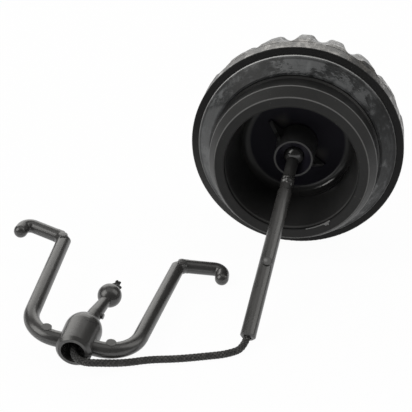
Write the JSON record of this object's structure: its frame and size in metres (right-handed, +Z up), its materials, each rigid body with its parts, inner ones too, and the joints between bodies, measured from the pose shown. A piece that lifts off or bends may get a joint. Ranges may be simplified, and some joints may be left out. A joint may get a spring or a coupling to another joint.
{
  "type": "tethered fuel cap",
  "caption": "Round plastic fuel filler cap with a fluted grip and a sealing ring, tied by a ball-ended stem and a braided cord to a hooked anchor clip that stays in the tank.",
  "frame": {"origin": "on the cap's axis, at the middle of the neck's plain wall", "axes": "+Z up as the cap lies on its side, -Y along the cap's axis out of its opening, +X to the right of a viewer who faces the opening"},
  "size_m": [0.0883, 0.0788, 0.0504],
  "materials": {
    "cap_plastic": "satin moulded",
    "gasket_rubber": "smooth, blotchy with wear and film",
    "tether_plastic": "satin moulded",
    "cord_braid": "fine braid"
  },
  "bodies": {
    "cap": {"cap_body": "cap_plastic", "sealing_gasket": "gasket_rubber"},
    "tether": {"tether_stem": "tether_plastic", "tether_cord": "cord_braid", "cord_end_fitting": "tether_plastic"},
    "clip": {"anchor_clip": "tether_plastic"}
  },
  "joints": [
    {"name": "tether_swivel", "type": "hinge", "parent": "cap", "child": "tether", "pos_m": [0, 0.00435, 0], "axis": [0, 1, 0], "continuous": true},
    {"name": "clip_spin", "type": "hinge", "parent": "tether", "child": "clip", "pos_m": [-0.0374, -0.0533, -0.02071], "axis": [-0.0052, 0.9996, 0.0279], "continuous": true}
  ]
}
